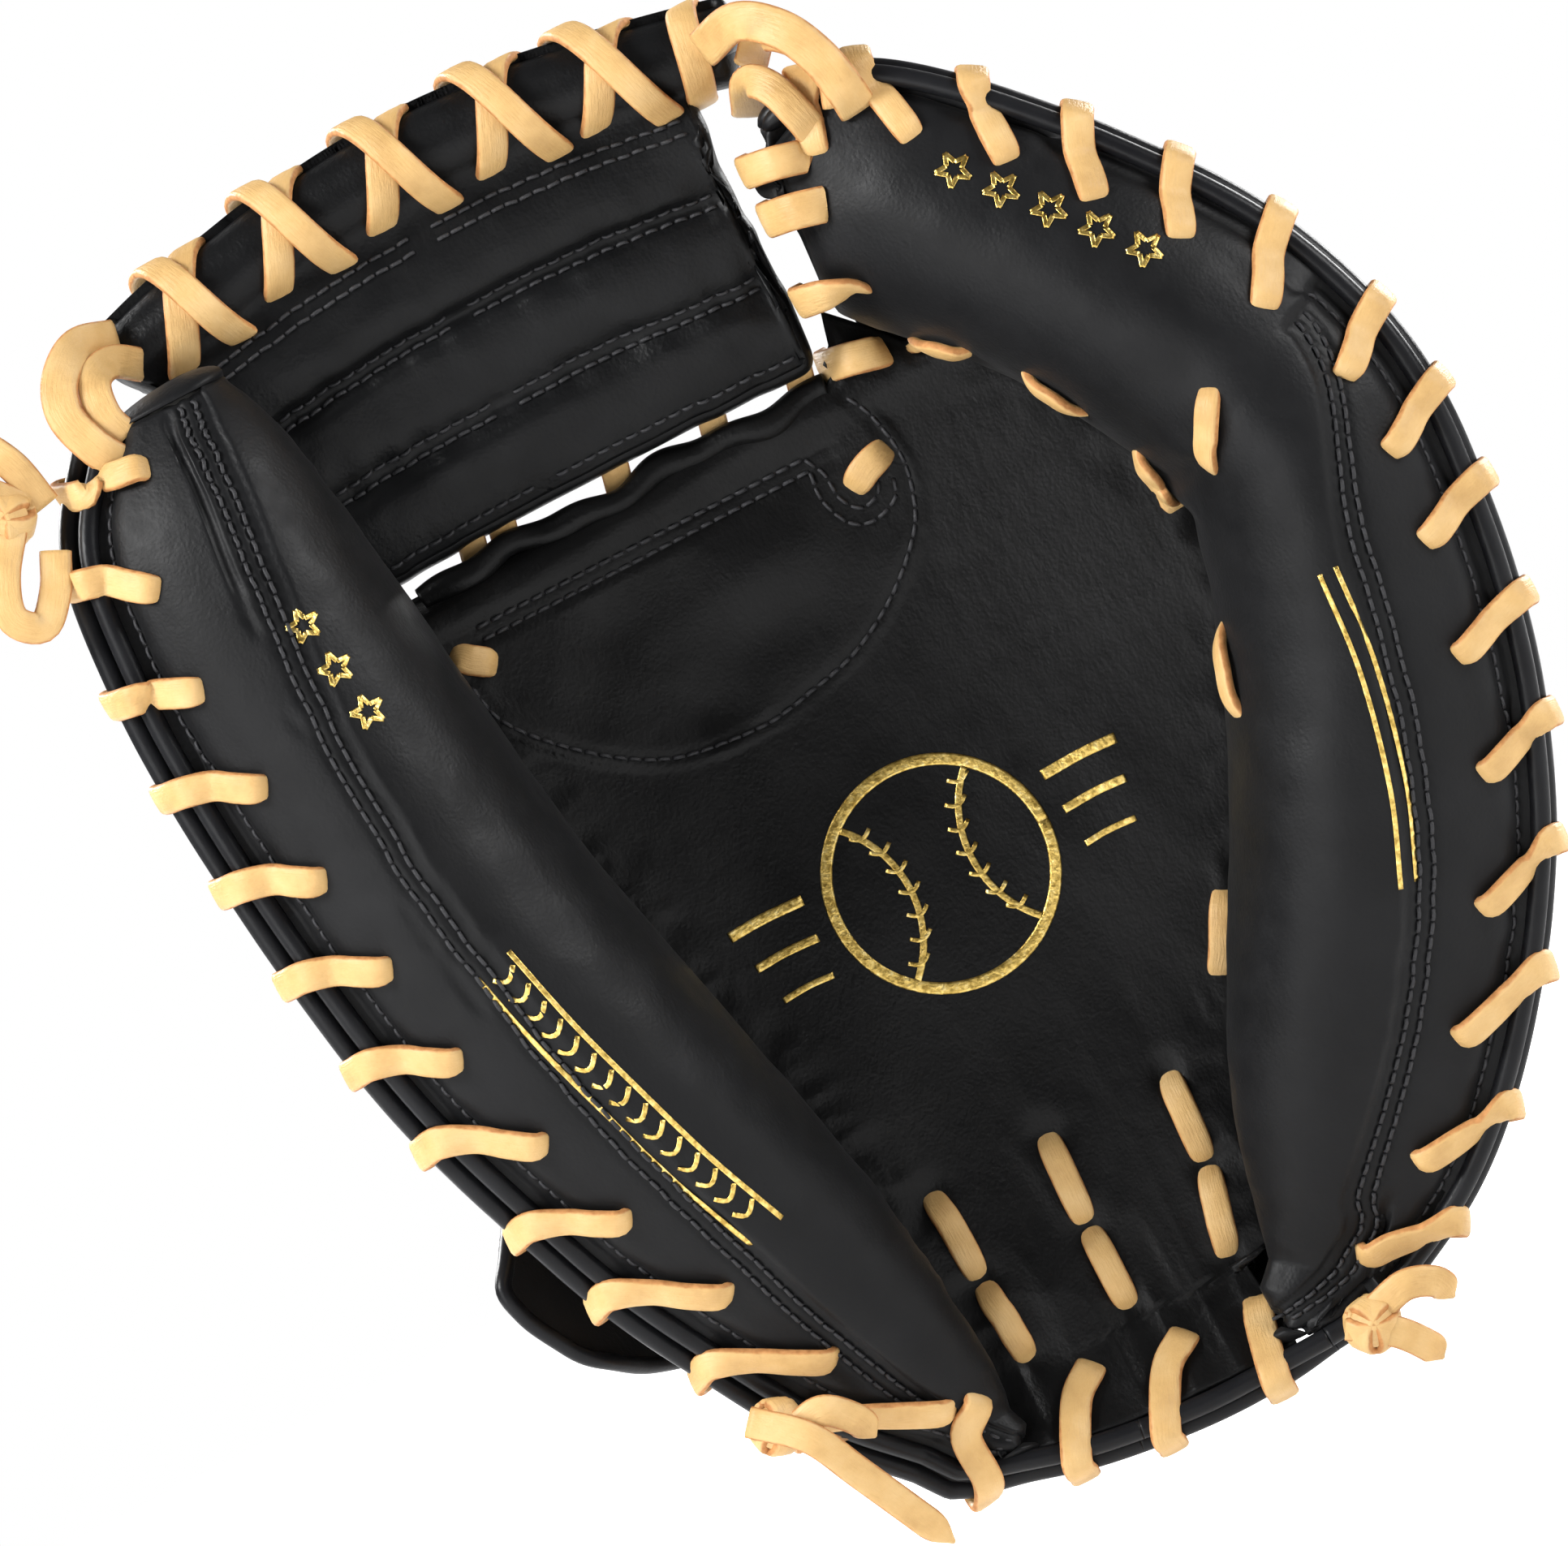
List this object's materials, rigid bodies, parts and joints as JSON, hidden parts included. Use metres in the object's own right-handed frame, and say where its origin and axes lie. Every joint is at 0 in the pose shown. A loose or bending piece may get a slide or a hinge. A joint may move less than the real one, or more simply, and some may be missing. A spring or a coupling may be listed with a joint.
{
  "type": "baseball catcher's mitt",
  "caption": "Round padded leather mitt with a deep pocket, laced rim, quilted web and a peel-open wrist strap.",
  "frame": {"origin": "centre of the flat outer face of the hand-back panel, the face the mitt lies on", "axes": "+Z from the heel up to the web, +X from the thumb side to the finger side, +Y out of the back of the hand, so the pocket opens to -Y"},
  "size_m": [0.2393, 0.0989, 0.2757],
  "materials": {
    "shell_leather": "satin grained black steerhide",
    "palm_leather": "creased semi-gloss black",
    "web_leather": "satin grained black",
    "welt_leather": "rolled piping, satin black",
    "lace_rawhide": "smooth tan rawhide, rougher at the edges",
    "lining_leather": "matt undyed lining",
    "felt": "dense wool felt",
    "hook_loop": "hook-and-loop tape",
    "strap_leather": "smooth black, bound edge"
  },
  "bodies": {
    "palm": {"palm_leather": "palm_leather", "heel_leather": "palm_leather", "palm_patch": "palm_leather", "palm_pad": "felt", "palm_lining": "lining_leather", "heel_pad": "felt", "heel_front_welt": "welt_leather", "heel_back_welt": "welt_leather", "crotch_roll": "welt_leather", "palm_lace": "lace_rawhide", "heel_rim_lace": "lace_rawhide", "hand_back_panel": "shell_leather", "hand_back_lining": "lining_leather", "crotch_back_panel": "shell_leather", "heel_back_panel": "shell_leather", "wrist_binding": "welt_leather", "web_front_panel": "web_leather", "web_core": "felt", "web_back_panel": "web_leather", "web_top_roll": "web_leather", "web_top_lace": "lace_rawhide", "crotch_lace": "lace_rawhide", "strap_band": "strap_leather", "heel_finger_knot": "lace_rawhide"},
    "thumb": {"thumb_outer_panel": "shell_leather", "thumb_inner_panel": "shell_leather", "thumb_pad": "felt", "thumb_stall_lining": "lining_leather", "thumb_back_panel": "shell_leather", "thumb_front_welt": "welt_leather", "thumb_back_welt": "welt_leather", "thumb_rim_lace": "lace_rawhide", "web_thumb_lace": "lace_rawhide", "thumb_tip_knot": "lace_rawhide", "heel_thumb_knot": "lace_rawhide", "loop_patch": "hook_loop"},
    "fingers": {"finger_palm_leather": "palm_leather", "finger_palm_lace": "lace_rawhide", "finger_outer_panel": "shell_leather", "finger_inner_panel": "shell_leather", "finger_pad": "felt", "finger_stall_lining": "lining_leather", "finger_back_panel": "shell_leather", "finger_front_welt": "welt_leather", "finger_back_welt": "welt_leather", "finger_rim_lace": "lace_rawhide", "web_finger_lace": "lace_rawhide"},
    "tongue": {"strap_tongue": "strap_leather", "hook_patch": "hook_loop"}
  },
  "joints": [
    {"name": "thumb_close", "type": "hinge", "parent": "palm", "child": "thumb", "pos_m": [-0.0305, -0.05275, -0.0165], "axis": [-0.1669, -0.0296, 0.9855], "range_deg": [0, 40]},
    {"name": "finger_close", "type": "hinge", "parent": "palm", "child": "fingers", "pos_m": [0.0365, -0.048, -0.0165], "axis": [-0.0709, 0, -0.9975], "range_deg": [0, 40]},
    {"name": "strap_peel", "type": "hinge", "parent": "thumb", "child": "tongue", "pos_m": [-0.03418, -0.00285, -0.047], "axis": [0.1885, -0.0745, -0.9792], "range_deg": [0, 75]}
  ]
}
